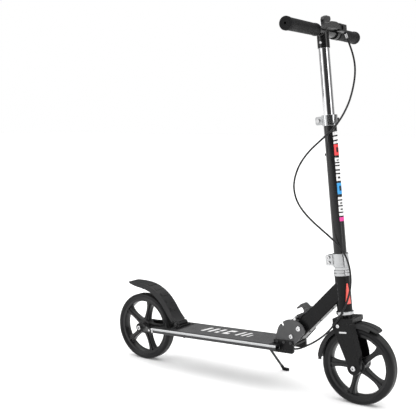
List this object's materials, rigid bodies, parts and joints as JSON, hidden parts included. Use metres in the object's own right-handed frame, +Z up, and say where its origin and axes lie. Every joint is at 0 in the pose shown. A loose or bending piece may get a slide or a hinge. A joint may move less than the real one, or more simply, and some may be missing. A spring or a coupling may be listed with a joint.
{
  "type": "kick scooter",
  "caption": "Folding big-wheel kick scooter with telescopic handlebar, hand and foot brake, side stand and mudguards.",
  "frame": {"origin": "on the ground, midway between the two wheel axles, on the centre plane", "axes": "+X forward (direction of travel), +Y to the rider's left, +Z up"},
  "size_m": [0.91, 0.392, 0.9943],
  "materials": {
    "black_alloy": "satin black coated alloy",
    "black_paint": "satin black powder coat",
    "plate_grey": "dark grey paint",
    "grip_tape": "gritty dark grey",
    "polished_alloy": "bright",
    "chrome_tube": "polished",
    "zinc_steel": "zinc plated",
    "black_nylon": "moulded black",
    "lever_black": "black",
    "wheel_pu": "black polyurethane",
    "rubber": "soft black",
    "cable_sheath": "black sheath",
    "reflector_red": "prismatic red"
  },
  "bodies": {
    "frame": {"deck": "black_alloy", "grip_tape": "grip_tape", "rear_arms": "black_paint", "rear_arm_screws": "zinc_steel", "rear_axle_set": "zinc_steel", "hinge_base": "black_paint", "hinge_plates": "plate_grey", "hinge_screws": "zinc_steel", "fold_pivot_bolt": "zinc_steel", "fender_bracket": "black_paint", "brake_bracket": "black_paint", "kickstand_bracket": "black_paint", "cable_clips": "black_paint", "cable_deck": "cable_sheath", "cable_fold": "cable_sheath"},
    "rear_wheel": {"rear_rim": "black_nylon", "rear_tyre": "wheel_pu", "rear_bearings": "zinc_steel"},
    "rear_fender": {"rear_fender": "black_nylon"},
    "kickstand": {"kickstand_leg": "black_paint", "kickstand_foot": "rubber"},
    "brake_arm": {"brake_arm": "plate_grey", "brake_shoe": "rubber"},
    "neck": {"neck_tube": "black_alloy", "hinge_knuckle": "black_alloy", "neck_screws": "zinc_steel", "head_tube": "black_alloy", "headset_cups": "polished_alloy", "headset_bearings": "zinc_steel", "head_reflector": "reflector_red", "lever_bracket": "black_paint"},
    "lock_lever": {"lock_lever": "plate_grey", "lock_cross_pin": "zinc_steel"},
    "steering": {"fork_crown": "black_alloy", "fork_legs": "black_alloy", "crown_bolts": "zinc_steel", "steerer_tube": "zinc_steel", "crown_race": "black_paint", "headset_nuts": "polished_alloy", "stem_clamp": "polished_alloy", "stem_clamp_bolts": "zinc_steel", "lower_column": "black_paint", "column_clamp": "polished_alloy", "clamp_bolt": "zinc_steel", "front_fender": "black_nylon", "front_axle_set": "zinc_steel", "cable_loop": "cable_sheath", "cable_head": "cable_sheath"},
    "front_wheel": {"front_rim": "black_nylon", "front_tyre": "wheel_pu", "front_bearings": "zinc_steel"},
    "clamp_lever": {"clamp_lever": "polished_alloy"},
    "height_button": {"height_button": "black_nylon"},
    "handlebar": {"upper_tube": "chrome_tube", "handlebar": "black_paint", "tee_rivet": "zinc_steel", "grips": "rubber", "brake_perch": "black_nylon", "cable_upper": "cable_sheath"},
    "brake_lever": {"brake_lever": "lever_black"}
  },
  "joints": [
    {"name": "rear_wheel_spin", "type": "hinge", "parent": "frame", "child": "rear_wheel", "pos_m": [-0.355, 0, 0.1], "axis": [0, 1, 0], "continuous": true},
    {"name": "fender_brake", "type": "hinge", "parent": "frame", "child": "rear_fender", "pos_m": [-0.222, 0, 0.127], "axis": [0, -1, 0], "range_deg": [0, 8], "stiffness_Nm_per_rad": 6, "springref_deg": -8.59},
    {"name": "kickstand_swing", "type": "hinge", "parent": "frame", "child": "kickstand", "pos_m": [0.048, 0.04, 0.1014], "axis": [0, 0.7346, 0.6785], "range_deg": [0, 92]},
    {"name": "brake_arm_pull", "type": "hinge", "parent": "frame", "child": "brake_arm", "pos_m": [-0.226, 0, 0.101], "axis": [0, -1, 0], "range_deg": [0, 8.1]},
    {"name": "fold", "type": "hinge", "parent": "frame", "child": "neck", "pos_m": [0.1725, 0, 0.154], "axis": [0, -1, 0], "range_deg": [0, 84], "deforming": ["cable_fold"]},
    {"name": "lock_release", "type": "hinge", "parent": "neck", "child": "lock_lever", "pos_m": [0.206, 0, 0.226], "axis": [0, 1, 0], "range_deg": [0, 16], "stiffness_Nm_per_rad": 0.6, "springref_deg": -34.38},
    {"name": "steer", "type": "hinge", "parent": "neck", "child": "steering", "pos_m": [0.32625, 0, 0.09708], "axis": [-0.1011, 0, 0.9949], "range_deg": [-180, 180], "deforming": ["cable_head", "cable_loop"]},
    {"name": "front_wheel_spin", "type": "hinge", "parent": "steering", "child": "front_wheel", "pos_m": [0.355, 0, 0.1], "axis": [0, 1, 0], "continuous": true},
    {"name": "clamp_lever_open", "type": "hinge", "parent": "steering", "child": "clamp_lever", "pos_m": [0.23302, 0.0144, 0.72789], "axis": [-0.1011, 0, 0.9949], "range_deg": [0, 130]},
    {"name": "height_button_press", "type": "slide", "parent": "steering", "child": "height_button", "axis": [0.9949, 0, 0.1011], "range_m": [0, 0.003], "stiffness_N_per_m": 300, "springref_m": -0.002},
    {"name": "height_slide", "type": "slide", "parent": "steering", "child": "handlebar", "axis": [-0.1011, 0, 0.9949], "range_m": [-0.14, 0], "deforming": ["cable_upper"]},
    {"name": "brake_pull", "type": "hinge", "parent": "handlebar", "child": "brake_lever", "pos_m": [0.27155, 0.03, 0.97203], "axis": [-0.1011, 0, 0.9949], "range_deg": [-7, 0], "stiffness_Nm_per_rad": 0.8, "springref_deg": 14.32}
  ],
  "couplings": [
    {"joint": "brake_arm_pull", "follows": "brake_pull", "ratio": -1.1571}
  ]
}
